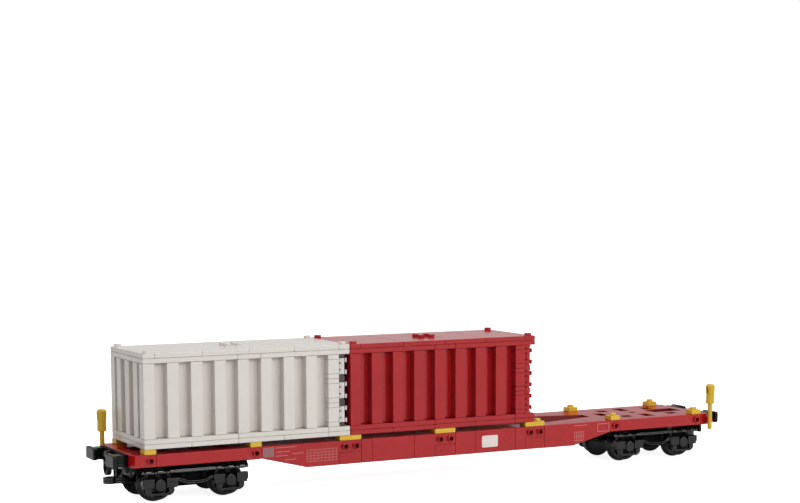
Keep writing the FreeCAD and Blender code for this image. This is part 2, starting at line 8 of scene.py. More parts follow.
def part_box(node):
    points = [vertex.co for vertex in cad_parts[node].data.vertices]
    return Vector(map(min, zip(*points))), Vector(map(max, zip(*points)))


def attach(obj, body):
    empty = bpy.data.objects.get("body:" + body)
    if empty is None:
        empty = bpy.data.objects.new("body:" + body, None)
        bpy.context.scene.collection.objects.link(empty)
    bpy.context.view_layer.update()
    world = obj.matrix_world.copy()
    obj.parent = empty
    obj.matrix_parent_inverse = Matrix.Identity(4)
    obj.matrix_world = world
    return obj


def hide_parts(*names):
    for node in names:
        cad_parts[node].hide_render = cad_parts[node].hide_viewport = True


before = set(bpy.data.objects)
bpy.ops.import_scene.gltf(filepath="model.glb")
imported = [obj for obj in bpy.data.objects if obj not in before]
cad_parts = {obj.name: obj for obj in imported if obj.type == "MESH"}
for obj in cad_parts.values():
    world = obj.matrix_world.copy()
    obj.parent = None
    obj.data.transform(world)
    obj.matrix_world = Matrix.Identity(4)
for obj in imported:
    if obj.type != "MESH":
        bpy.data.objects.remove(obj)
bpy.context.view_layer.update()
mm = 0.001
print("frame loaded:", len(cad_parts), "nodes")


def nodeBox(node):
    # a node's lowest and highest corner in millimetres
    low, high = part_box(node)
    return np.array(low) / mm, np.array(high) / mm


class Wire:
    # wraps a socket, so that arithmetic on it adds Math nodes
    def __init__(self, tree, socket):
        self.tree = tree
        self.socket = socket

    def node(self, kind, settings=None, values=None, out=0):
        made = self.tree.nodes.new(kind)
        for key, value in (settings or {}).items():
            setattr(made, key, value)
        for key, value in (values or {}).items():
            if isinstance(value, Wire):
                self.tree.links.new(value.socket, made.inputs[key])
            else:
                made.inputs[key].default_value = value
        return Wire(self.tree, made.outputs[out])

    def maths(self, operation, *operands):
        return self.node("ShaderNodeMath", {"operation": operation}, dict(enumerate(operands)))

    def __add__(self, other):
        return self.maths("ADD", self, other)

    def __sub__(self, other):
        return self.maths("SUBTRACT", self, other)

    def __rsub__(self, other):
        return self.maths("SUBTRACT", other, self)

    def __mul__(self, other):
        return self.maths("MULTIPLY", self, other)

    def __lt__(self, other):
        return self.maths("LESS_THAN", self, other)

    def __abs__(self):
        return self.maths("ABSOLUTE", self)

    def mix(self, low, high):
        # a colour between two, by this mask
        return self.node("ShaderNodeMix", {"data_type": "RGBA"}, {0: self, 6: low, 7: high}, out=2)

    def smooth(self, low, high):
        # 0 below low, 1 above high, and an S curve between them
        curve = {"interpolation_type": "SMOOTHSTEP"}
        return self.node("ShaderNodeMapRange", curve, {0: self, 1: low, 2: high})


def linear(colour):
    # a colour as it is seen, turned into the light it reflects
    seen = np.array(colour) / 255
    light = np.where(seen <= 0.04045, seen / 12.92, ((seen + 0.055) / 1.055) ** 2.4)
    return tuple(light) + (1.0,)


# colour in plain light, roughness, grain height in mm and colour variation; seams are the pitch of thin lines
# in mm; paintedShade is painted shade: an axis, the distance from zero in mm within which the surface is
# darkened to stand for shade, and how strongly
finishes = {
    "redPlastic": dict(colour=(164, 14, 20), rough=0.14, grain=0.012, drift=0.05),
    # painted shade: the deck darkens below its top, inside its openings and wells
    "deckPlastic": dict(colour=(164, 14, 20), rough=0.07, grain=0.012, drift=0.05, seams=(16.0, 16.0),
                        paintedShade=("z", 32.6, 0.6)),
    # painted shade: the stud blocks darken behind their face, inside the bores
    "blockPlastic": dict(colour=(164, 14, 20), rough=0.14, grain=0.012, drift=0.05,
                         paintedShade=("y", 30.6, 0.75)),
    # painted shade: both containers' finishes darken their bottom faces, which face the dark gap over the
    # deck
    "boxRed": dict(colour=(162, 14, 21), rough=0.14, grain=0.012, drift=0.05, paintedShade=("z", 36.1, 0.8)),
    "greyPlastic": dict(colour=(210, 204, 198), rough=0.16, grain=0.012, drift=0.02,
                        paintedShade=("z", 36.1, 0.8)),
    "yellowPlastic": dict(colour=(212, 172, 46), rough=0.14, grain=0.010, drift=0.05),
    # painted shade: a darker copy of the yellow, for the poles that stand in shadow
    "shadedPoleYellow": dict(colour=(196, 160, 34), rough=0.16, specular=0.35, grain=0.010, drift=0.05),
    # painted shade: a dark olive for the shade inside the poles' slots
    "slotShade": dict(colour=(62, 50, 12), rough=0.4, specular=0.1, grain=0.010, drift=0.05),
    "darkPlastic": dict(colour=(14, 14, 15), rough=0.16, specular=0.2, grain=0.012, drift=0.10),
    "hingeGrey": dict(colour=(68, 60, 57), rough=0.2, grain=0.012, drift=0.08),
    "blackPlastic": dict(colour=(12, 12, 13), rough=0.15, grain=0.012, drift=0.15),
    "glossBlack": dict(colour=(10, 10, 11), rough=0.11, specular=1.0, grain=0.003, drift=0.15),
    # partly painted shade: black plastic with almost no gloss, so that the bolsters, buffer plates, bogie
    # rails, webs and plates read as deep shadow
    "shadeBlack": dict(colour=(7, 7, 8), rough=0.45, specular=0.04, grain=0.012, drift=0.15),
    "wheelPlastic": dict(colour=(12, 12, 13), rough=0.22, specular=0.35, grain=0.008, drift=0.15),
    "axleSteel": dict(colour=(170, 171, 172), rough=0.24, grain=0.004, drift=0.06, metal=1.0),
    "whitePrint": dict(colour=(190, 128, 126), rough=0.2, grain=0.004, drift=0.03),
    "signWhite": dict(colour=(220, 208, 205), rough=0.2, grain=0.004, drift=0.03),
    "greyPrint": dict(colour=(104, 78, 80), rough=0.2, grain=0.004, drift=0.03),
}


# noise scales, the thresholds of the scratches, and how strongly each shows, and the roughness added where
# shade is painted
wear = dict(flow=45.0, fine=2600.0, smear=170.0, scratchTurn=(0.6, 0.3, 0.9),
            scratchScale=(120.0, 1500.0, 900.0), scratch=(0.69, 0.75), scratchTint=0.10, scratchGloss=0.08,
            smearGloss=0.06, seamTint=0.45, seamDepth=0.3, shadeRough=0.4, bump=0.12)


def seamLines(place, pitch, width=0.18):
    # a mask of thin lines: where the distance to the nearest multiple of the pitch is small on either axis
    lines = None
    for axis, gap in enumerate(pitch):
        along = place.node("ShaderNodeSeparateXYZ", None, {"Vector": place}, out=axis)
        turn = along * (1 / (gap * mm)) + 0.5
        phase = turn.maths("FRACT", turn)
        line = abs(phase - 0.5) < width / (2 * gap)
        lines = line if lines is None else line.maths("MAXIMUM", line, lines)
    return lines


def mouldedPlastic(name, colour, rough, grain, drift, specular=0.45, metal=0.0, seams=None, paintedShade=None):
    # flow marks vary the tint, handling varies the gloss, a fine moulded grain lifts the surface, and painted
    # shade darkens the surface near zero on one axis
    material = bpy.data.materials.new(name)
    material.use_nodes = True
    tree = material.node_tree
    shader = tree.nodes["Principled BSDF"]
    start = Wire(tree, None)
    place = start.node("ShaderNodeTexCoord", out=3)

    def noise(at, scale, detail, roughness=0.5):
        values = {"Vector": at, "Scale": scale, "Detail": detail, "Roughness": roughness}
        return start.node("ShaderNodeTexNoise", None, values)

    flow = noise(place, wear["flow"], 3.0, 0.6)
    fine = noise(place, wear["fine"], 2.0)
    smear = noise(place, wear["smear"], 5.0, 0.7)
    turned = start.node("ShaderNodeMapping", {"vector_type": "POINT"},
                        {"Vector": place, "Rotation": wear["scratchTurn"], "Scale": wear["scratchScale"]})
    scratches = noise(turned, 1.0, 2.0).smooth(*wear["scratch"])
    base = np.array(linear(colour))
    light = tuple(np.minimum(base[:3] * (1 + drift) + 0.01 * drift, 1)) + (1.0,)
    dark = tuple(base[:3] * (1 - drift)) + (1.0,)
    tint = flow.smooth(0.3, 0.7).mix(dark, light)
    wornAndShaded = (scratches * wear["scratchTint"]).mix(tint, tuple(base[:3] * 0.7 + 0.12) + (1.0,))
    height = fine * grain + smear * grain * 1.5 - scratches * grain
    if seams:
        lines = seamLines(place, seams)
        wornAndShaded = (lines * wear["seamTint"]).mix(wornAndShaded, tuple(base[:3] * 0.3) + (1.0,))
        height = height - lines * wear["seamDepth"]
    gloss = smear * wear["smearGloss"] + scratches * wear["scratchGloss"] + (rough - wear["smearGloss"] / 2)
    # painted shade: surfaces nearer zero on the axis than the given distance are darkened toward near black,
    # standing in for the shade inside openings, bores and gaps, and are made rougher
    if paintedShade:
        axis, level, shadeStrength = paintedShade
        along = start.node("ShaderNodeSeparateXYZ", None, {"Vector": place}, out="xyz".index(axis))
        shadeMask = abs(along) < level * mm
        wornAndShaded = (shadeMask * shadeStrength).mix(wornAndShaded, tuple(base[:3] * 0.05) + (1.0,))
        gloss = gloss + shadeMask * wear["shadeRough"]
    bump = start.node("ShaderNodeBump", None, {"Strength": wear["bump"], "Distance": mm, "Height": height})
    for socket, value in (("Base Color", wornAndShaded), ("Roughness", gloss), ("Normal", bump)):
        tree.links.new(value.socket, shader.inputs[socket])
    shader.inputs["Metallic"].default_value = metal
    shader.inputs["Specular IOR Level"].default_value = specular
    return material


paint = {name: mouldedPlastic(name, **values) for name, values in finishes.items()}
print("materials:", len(paint))


def skinRings(rings, capped=True, looped=False):
    # a stack of rings of corners: four-cornered faces join ring to ring, and a polygon closes each end
    pieces, levels, corners, _ = rings.shape
    base = (np.arange(pieces) * levels * corners)[:, None, None]
    level = np.arange(levels if looped else levels - 1)[None, :, None]
    above = (level + 1) % levels
    here = np.arange(corners)[None, None, :]
    after = (here + 1) % corners
    low, high = base + level * corners, base + above * corners
    quads = np.stack([low + here, low + after, high + after, high + here], axis=-1).reshape(-1, 4)
    faces = quads.tolist()
    if capped and not looped:
        start = base[:, 0] + np.arange(corners)[::-1]
        faces += start.tolist()
        faces += (base[:, 0] + (levels - 1) * corners + np.arange(corners)).tolist()
    return rings.reshape(-1, 3), faces


def bricks(boxes, bevel=0.22, play=0.05):
    # a box with its edges cut back: an eight-cornered outline carried up through four levels
    boxes = np.asarray(boxes, float).reshape(-1, 6)
    low, high = boxes[:, 0::2] + play, boxes[:, 1::2] - play
    centre, half = (low + high) / 2, (high - low) / 2
    cut = np.minimum(bevel, half.min(axis=1) * 0.4)[:, None, None]
    signX, insetX = np.array([1, 1, 1, -1, -1, -1, -1, 1]), np.array([0, 0, 1, 1, 0, 0, 1, 1])
    signY, insetY = np.array([-1, 1, 1, 1, 1, -1, -1, -1]), np.array([1, 1, 0, 0, 1, 1, 0, 0])
    shrink = np.array([1, 0, 0, 1])[None, :, None]
    x = centre[:, 0, None, None] + signX * (half[:, 0, None, None] - cut * (shrink + insetX))
    y = centre[:, 1, None, None] + signY * (half[:, 1, None, None] - cut * (shrink + insetY))
    rise = np.array([-1, -1, 1, 1])[None, :, None] * (half[:, 2, None, None] - cut * (1 - shrink))
    z = centre[:, 2, None, None] + rise + 0 * x
    return skinRings(np.stack([x, y, z], axis=-1))


def lathe(profile, centres, axis="z", around=24, looped=False):
    # a profile of radius and height is turned about an axis through each centre
    profile = np.asarray(profile, float)
    centres = np.asarray(centres, float).reshape(-1, 3)
    angle = np.arange(around) * 2 * math.pi / around
    first = profile[:, 0, None] * np.cos(angle)
    second = profile[:, 0, None] * np.sin(angle)
    along = profile[:, 1, None] + 0 * first
    order = {"z": (first, second, along), "x": (along, first, second), "y": (second, along, first)}[axis]
    rings = np.stack(order, axis=-1)[None] + centres[:, None, None, :]
    return skinRings(rings, looped=looped)


def insetOutline(outline, by):
    # every corner moves in along both of its edges by the same distance
    back = outline - np.roll(outline, 1, axis=0)
    ahead = np.roll(outline, -1, axis=0) - outline
    back = back / np.linalg.norm(back, axis=1)[:, None]
    ahead = ahead / np.linalg.norm(ahead, axis=1)[:, None]
    inBack, inAhead = np.stack([-back[:, 1], back[:, 0]], 1), np.stack([-ahead[:, 1], ahead[:, 0]], 1)
    return outline + by * (inBack + inAhead) / (1 + (inBack * inAhead).sum(axis=1))[:, None]


def slab(outline, span, across="y", bevel=0.22):
    # an outline drawn on two axes is carried along the third, with its end edges cut back
    outline = np.asarray(outline, float)
    ahead = np.roll(outline, -1, axis=0)
    if (outline[:, 0] * ahead[:, 1] - ahead[:, 0] * outline[:, 1]).sum() < 0:
        outline = outline[::-1]
    small = insetOutline(outline, bevel)
    flat = np.stack([small, outline, outline, small])
    height = np.array([span[0], span[0] + bevel, span[1] - bevel, span[1]])[:, None, None] + 0 * flat[..., :1]
    parts = {"x": (height, flat[..., :1], flat[..., 1:]), "y": (flat[..., :1], height, flat[..., 1:]),
             "z": (flat[..., :1], flat[..., 1:], height)}[across]
    return skinRings(np.concatenate(parts, axis=-1)[None])


def ringWall(outer, inner, span, centres, axis="z", bevel=0.15, around=24):
    # a tube: its four-sided section with cut edges is turned about the axis and closes on itself
    low, high = span
    profile = [(inner, low + bevel), (inner + bevel, low), (outer - bevel, low), (outer, low + bevel),
               (outer, high - bevel), (outer - bevel, high), (inner + bevel, high), (inner, high - bevel)]
    return lathe(profile, centres, axis, around, looped=True)


def rounded(radius, low, high, edge=0.3):
    # the profile of a round bar or knob with softened rims
    return [(radius - edge, low), (radius, low + edge), (radius, high - edge),
            (radius - edge * 0.3, high - edge * 0.3), (radius - edge, high)]


def roundedOutline(x0, x1, y0, y1, radius, steps=6):
    # a rectangle whose corners are quarter circles
    turn = np.linspace(0, math.pi / 2, steps)
    corners = []
    for quarter, (x, y) in enumerate(((x1 - radius, y1 - radius), (x0 + radius, y1 - radius),
                                      (x0 + radius, y0 + radius), (x1 - radius, y0 + radius))):
        angle = turn + quarter * math.pi / 2
        corners.append(np.stack([x + radius * np.cos(angle), y + radius * np.sin(angle)], axis=-1))
    return np.concatenate(corners)


def squareToRound(levels, centre, corners=32):
    # rings about the Y axis, each a square or a circle of a half width at a depth: a square's corner
    # distance is the half width over the larger of cosine and sine
    angle = np.arange(corners) * 2 * math.pi / corners
    corner = 1 / np.maximum(abs(np.cos(angle)), abs(np.sin(angle)))
    rings = []
    for shape, half, depth in levels:
        reach = half * (corner if shape == "square" else 1.0 + 0 * angle)
        rings.append(np.stack([centre[0] + reach * np.cos(angle), depth + 0 * angle,
                               centre[1] + reach * np.sin(angle)], axis=-1))
    return skinRings(np.stack(rings)[None])


def softenEdges(mesh, limit=50.0):
    # each face corner's normal is the sum of its neighbours' face normals at that point, as far as they turn
    # less than the limit, each weighted by its area squared: large faces stay flat and narrow edges round off
    count = len(mesh.loops)
    points, areas = np.empty(count, int), np.empty(len(mesh.polygons))
    normals, sizes = np.empty(len(mesh.polygons) * 3), np.empty(len(mesh.polygons), int)
    mesh.loops.foreach_get("vertex_index", points)
    mesh.polygons.foreach_get("area", areas)
    mesh.polygons.foreach_get("normal", normals)
    mesh.polygons.foreach_get("loop_total", sizes)
    owner = np.repeat(np.arange(len(sizes)), sizes)
    order = np.argsort(points, kind="stable")
    point, normal = points[order], normals.reshape(-1, 3)[owner[order]]
    weighted = normal * (areas[owner[order]] ** 2)[:, None]
    total, turn = weighted.copy(), math.cos(math.radians(limit))
    for step in range(1, int(np.bincount(points).max())):
        early, late = slice(None, -step), slice(step, None)
        for first, second in ((early, late), (late, early)):
            near = (point[first] == point[second]) & ((normal[first] * normal[second]).sum(axis=1) > turn)
            total[first] += weighted[second] * near[:, None]
    soft = np.empty((count, 3))
    soft[order] = total / np.maximum(np.linalg.norm(total, axis=1), 1e-30)[:, None]
    mesh.normals_split_custom_set(soft)


def build(name, parts, finish, body, replaced=()):
    # the parts become one closed mesh whose flat faces stay flat and whose turned faces are smooth
    points, faces = [], []
    count = 0
    for verts, polygons in parts:
        points.append(verts)
        faces += [[index + count for index in polygon] for polygon in polygons]
        count += len(verts)
    mesh = bpy.data.meshes.new(name)
    mesh.from_pydata((np.concatenate(points) * mm).tolist(), [], faces)
    work = bmesh.new()
    work.from_mesh(mesh)
    bmesh.ops.recalc_face_normals(work, faces=work.faces)
    work.to_mesh(mesh)
    work.free()
    mesh.shade_smooth()
    softenEdges(mesh)
    mesh.materials.append(paint[finish])
    piece = bpy.data.objects.new(name, mesh)
    bpy.context.scene.collection.objects.link(piece)
    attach(piece, body)
    if replaced:
        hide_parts(*replaced)


def finishNode(node, finish):
    # a node whose shape is right keeps it and takes the material
    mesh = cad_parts[node].data
    mesh.materials.clear()
    mesh.materials.append(paint[finish])


# the building grid, in mm: stud pitch, plate thickness, and a stud's radius, height, rim and softened edge
stud = dict(pitch=8.0, plate=3.2, radius=2.4, rise=1.7, edge=0.25, soft=0.07)


def knobs(centres, base):
    # solid studs, each a low round bar with a softened top rim
    radius, rise, edge, soft = (stud[key] for key in ("radius", "rise", "edge", "soft"))
    profile = [(radius, base), (radius, base + rise - edge), (radius - soft, base + rise - soft),
               (radius - edge, base + rise)]
    return lathe(profile, centres)


# the camera: degrees, metres, and a lens in mm with its shift
view = dict(azimuth=-28.112, elevation=6.834, roll=-0.09, place=(-0.58865, -1.10189, 0.20051),
            focal=80.97, shiftX=-0.02925, shiftY=0.1881)


def makeCamera():
    turn, lift, roll = (math.radians(view[key]) for key in ("azimuth", "elevation", "roll"))
    forward = Vector((-math.sin(turn) * math.cos(lift), math.cos(turn) * math.cos(lift), -math.sin(lift)))
    right = Vector((math.cos(turn), math.sin(turn), 0.0))
    up = right.cross(forward)
    right, up = (math.cos(roll) * right + math.sin(roll) * up, math.cos(roll) * up - math.sin(roll) * right)
    camera = bpy.data.objects.new("camera", bpy.data.cameras.new("camera"))
    bpy.context.scene.collection.objects.link(camera)
    facing = Matrix((right, up, -forward)).transposed().to_4x4()
    camera.matrix_world = Matrix.Translation(view["place"]) @ facing
    camera.data.lens = view["focal"]
    camera.data.shift_x = view["shiftX"]
    camera.data.shift_y = view["shiftY"]
    bpy.context.scene.camera = camera


# levels of the world and of what gloss mirrors, the floor's levels, and lamps: name, place, watts and size
studio = dict(world=0.42, horizon=0.66, zenith=0.32, rise=(0.06, 0.15), floorReach=6.0, floorGlow=0.88,
              floorFront=0.2, floorBack=0.0, floorTint=0.62, aim=(0, 0, 0.04),
              lamps=[("keyFront", (0.3, -1.76, 0.74), 20.5, (1.9, 0.5)),
                     ("sideLeft", (-1.9, 0.4, 1.2), 5.0, (1.2, 1.2)),
                     ("top", (0.1, 0.3, 1.6), 20.0, (1.2, 1.2))])


def makeStudio():
    scene = bpy.context.scene
    scene.view_settings.view_transform = "Standard"
    world = bpy.data.worlds.new("studio")
    scene.world = world
    world.use_nodes = True
    tree = world.node_tree
    start = Wire(tree, None)
    path = tree.nodes.new("ShaderNodeLightPath")
    rays = ("Camera", "Glossy", "Transmission")
    seen, glossy, through = (Wire(tree, path.outputs[f"Is {ray} Ray"]) for ray in rays)
    # what the gloss mirrors is bright at the horizon and darker above it
    rise = start.node("ShaderNodeSeparateXYZ", None, {"Vector": start.node("ShaderNodeTexCoord")}, out=2)
    mirrored = studio["horizon"] - rise.smooth(*studio["rise"]) * (studio["horizon"] - studio["zenith"])
    power = seen * (1 - studio["world"]) + (glossy + through) * (mirrored - studio["world"]) + studio["world"]
    ground = tree.nodes["Background"]
    ground.inputs["Color"].default_value = (1, 1, 1, 1)
    tree.links.new(power.socket, ground.inputs["Strength"])
    for name, place, watts, size in studio["lamps"]:
        lamp = bpy.data.lights.new(name, "AREA")
        lamp.shape = "RECTANGLE"
        lamp.energy, lamp.size, lamp.size_y = watts, *size
        holder = bpy.data.objects.new(name, lamp)
        scene.collection.objects.link(holder)
        holder.location = place
        toward = Vector(studio["aim"]) - Vector(place)
        holder.rotation_euler = toward.to_track_quat("-Z", "Y").to_euler()
    makeFloor()


def makeFloor():
    # white to the camera, darker towards the back to what mirrors it, and it keeps the shadow
    scene = bpy.context.scene
    floorMesh = bpy.data.meshes.new("floor")
    reach = studio["floorReach"]
    corners = [(-reach, -reach, 0), (reach, -reach, 0), (reach, reach, 0), (-reach, reach, 0)]
    floorMesh.from_pydata(corners, [], [(0, 1, 2, 3)])
    floor = bpy.data.objects.new("floor", floorMesh)
    scene.collection.objects.link(floor)
    material = bpy.data.materials.new("paleFloor")
    material.use_nodes = True
    tree = material.node_tree
    shader = tree.nodes["Principled BSDF"]
    start = Wire(tree, None)
    place = start.node("ShaderNodeTexCoord", out=3)
    speckle = start.node("ShaderNodeTexNoise", None, {"Vector": place, "Scale": 30.0})
    path = tree.nodes.new("ShaderNodeLightPath")
    seen, glossy = (Wire(tree, path.outputs[f"Is {ray} Ray"]) for ray in ("Camera", "Glossy"))
    depth = start.node("ShaderNodeSeparateXYZ", None, {"Vector": place}, out=1)
    mirrored = studio["floorFront"] - depth.smooth(-0.1, 0.1) * (studio["floorFront"] - studio["floorBack"])
    glow = seen * studio["floorGlow"] + glossy * mirrored
    tint = studio["floorTint"]
    shade = speckle.mix((tint - 0.01, tint - 0.01, tint - 0.01, 1), (tint, tint, tint, 1))
    tree.links.new(shade.socket, shader.inputs["Base Color"])
    shader.inputs["Roughness"].default_value = 0.9
    shader.inputs["Specular IOR Level"].default_value = 0.1
    shader.inputs["Emission Color"].default_value = (1, 1, 1, 1)
    tree.links.new(glow.socket, shader.inputs["Emission Strength"])
    floorMesh.materials.append(material)


makeCamera()
makeStudio()
print("camera, light and floor set")

ends = (("left", -1), ("right", 1))
flanks = (("near", -1), ("far", 1))


def spanOf(sign, low, high):
    # a span on the side of an axis that the sign gives
    return (low, high) if sign > 0 else (-high, -low)


# along the wagon: blocks and doubles in studs from the middle, stops and wedge in mm; the rest is in mm
sill = dict(blocks=(-26.5, -17.5, -9, 0, 9, 17.5, 26.5), doubles=(-9, 0, 9), coreShare=0.6, keelRise=1,
            blockSet=0.35, bore=1.55, boreDepth=3.6, play=0.05,
            stops=(-216, -208, -144, -136, -80, -64, -56, -24, -8, 8, 24, 56, 64, 80, 136, 144, 208, 216),
            wedge=(104, 136))


def makeSills():
    for flank, sign in flanks:
        low, high = nodeBox(f"sill_{flank}")
        inner, outer = sorted((abs(low[1]), abs(high[1])))
        top, bottom = high[2], low[2]
        endLow, endHigh = nodeBox(f"sill_ends_{flank}")
        end, thin = endHigh[0], endLow[2]
        core = inner + (outer - inner) * sill["coreShare"]
        foot, knee = sill["wedge"]
        parts = [bricks([-end, end, *spanOf(sign, inner, core), thin, top], play=0.0)]
        rise = sill["keelRise"]
        keel = [(-knee, thin + rise), (-foot, bottom + rise), (foot, bottom + rise), (knee, thin + rise)]
        parts.append(slab(keel, spanOf(sign, inner, core)))
        # the face is a row of smooth pieces; a stud block is set into it under each mount
        face = spanOf(sign, core, outer)
        stops = [-end, *sill["stops"], end]
        for left, right in zip(stops, stops[1:]):
            isBlock = (left + right) / 2 / stud["pitch"] in sill["blocks"]
            if isBlock:
                if max(abs(left), abs(right)) < foot:
                    parts.append(bricks([left, right, *face, bottom, thin]))
            elif max(abs(left), abs(right)) == knee:
                side = -1 if left < 0 else 1
                start = min(abs(left), abs(right)) + sill["play"]
                stop = knee - sill["play"]
                outline = np.array([(stop, top), (stop, thin), (foot, bottom), (start, bottom), (start, top)])
                parts.append(slab(outline * (side, 1), face))
            else:
                base = thin if min(abs(left), abs(right)) >= knee else bottom
                parts.append(bricks([left, right, *face, base, top]))
        build(f"sillFace_{flank}", parts, "redPlastic", "frame",
              [f"sill_{flank}", f"sill_ends_{flank}"])
        # stud blocks: a square face that turns into a round stud with a deep bore
        blockLow, blockHigh = nodeBox(f"stud_blocks_{flank}")
        reach = max(abs(blockLow[1]), abs(blockHigh[1]))
        face, half = outer - sill["blockSet"], stud["pitch"] / 2
        pieces = []
        for centre in sill["blocks"]:
            count = 2 if centre in sill["doubles"] else 1
            for step in range(count):
                x = (centre + step - (count - 1) / 2) * stud["pitch"]
                radius, bore = stud["radius"], sill["bore"]
                levels = [("square", half, core), ("square", half, face - 0.1), ("square", half - 0.1, face),
                          ("round", radius, face), ("round", radius, reach - 0.2),
                          ("round", radius - 0.2, reach), ("round", bore + 0.1, reach),
                          ("round", bore, reach - 0.15), ("round", bore, reach - sill["boreDepth"])]
                levels = [(shape, size, sign * depth) for shape, size, depth in levels]
                pieces.append(squareToRound(levels, (x, (thin + top) / 2)))
        # painted shade: the block finish darkens the insides of the bores
        build(f"studBlocks_{flank}", pieces, "blockPlastic", "frame", [f"stud_blocks_{flank}"])


makeSills()
print("sills")

# plain ruled panels: spans along and up in mm, then columns and rows; a ruled line is a span and its height
prints = dict(lift=0.05, panelLift=0.02, line=0.34, sunk=0.2, signLift=0.06, signCorner=1.0,
              lattice=(-135.0, -127.9, 25.7, 31.5, 6, 5), table=(-104.0, -82.6, 20.4, 28.2, 8, 4),
              ruled=((-126.4, -111.6, 31.2), (-126.4, -116.2, 28.4), (-126.4, -117.8, 25.8),
                     (-114.7, -106.5, 26.7), (-119.8, -111.7, 22.9), (104.8, 115.7, 31.0)),
              box=(105.0, 112.6, 20.1, 26.4, 5, 2), frame=(124.7, 134.3, 25.5, 31.0),
              sign=(28.9, 41.6, 20.6, 28.8))


def gridLines(x0, x1, z0, z1, columns, rows, width):
    # upright and level strips at even steps across a rectangle
    strip = np.array([[-width / 2, width / 2]])
    uprights = np.linspace(x0, x1, columns + 1)[:, None] + strip
    levels = np.linspace(z0, z1, rows + 1)[:, None] + strip
    return [(*span, z0, z1) for span in uprights.tolist()] + [(x0, x1, *span) for span in levels.tolist()]


def makePrints():
    # flat panels and thin strips that stand a little proud of the sill's face
    for flank, sign in flanks:
        low, high = nodeBox(f"sill_{flank}")
        outer = max(abs(low[1]), abs(high[1]))
        width = prints["line"]

        def plates(boxes, lift=prints["lift"]):
            # the far side carries the same panels, turned half round about the middle
            made = []
            for x0, x1, z0, z1 in boxes:
                x = (x0, x1) if sign < 0 else (-x1, -x0)
                made.append((*x, *spanOf(sign, outer - prints["sunk"], outer + lift), z0, z1))
            return [bricks(made, bevel=0.01, play=0.0)]

        x0, x1, z0, z1, columns, rows = prints["lattice"]
        panel = plates([(x0, x1, z0, z1)], prints["panelLift"])
        build(f"latticePanel_{flank}", panel, "greyPrint", "frame")
        strips = gridLines(x0, x1, z0, z1, columns, rows, width * 0.8)
        strips += gridLines(*prints["table"], width * 0.7)
        strips += [(a, b, z - width / 2, z + width / 2) for a, b, z in prints["ruled"]]
        strips += gridLines(*prints["box"], width * 0.7)
        strips += gridLines(*prints["frame"], 1, 1, width * 1.1)
        build(f"ruledPanels_{flank}", plates(strips), "whitePrint", "frame")
        outline = roundedOutline(*prints["sign"], prints["signCorner"])
        if sign > 0:
            outline = outline * (-1, 1)
        board = slab(outline, spanOf(sign, outer - prints["sunk"], outer + prints["signLift"]), bevel=0.02)
        build(f"blankSign_{flank}", [board], "signWhite", "frame")


makePrints()
print("printed panels")


# mounts in studs from the middle; the rest in mm: the beam's corner pieces and their slant, the tops of a
# buffer shank's lower layers over its bottom, and how far a head's corner points stand in and down
frameEnd = dict(singles=(-26.5, -17.5, 17.5, 26.5), doubles=(-9, 0, 9), corner=8, slant=(1.8, 4),
                bufferY=20.0, shankHalf=3.9, shankLayers=(2.8, 4.9), shankGap=0.3, shankBack=3.0,
                headLength=3.2, headHalf=8, headCorner=((0, 1.2), (0.4, 0.4), (1.2, 0)), headBevel=0.6)


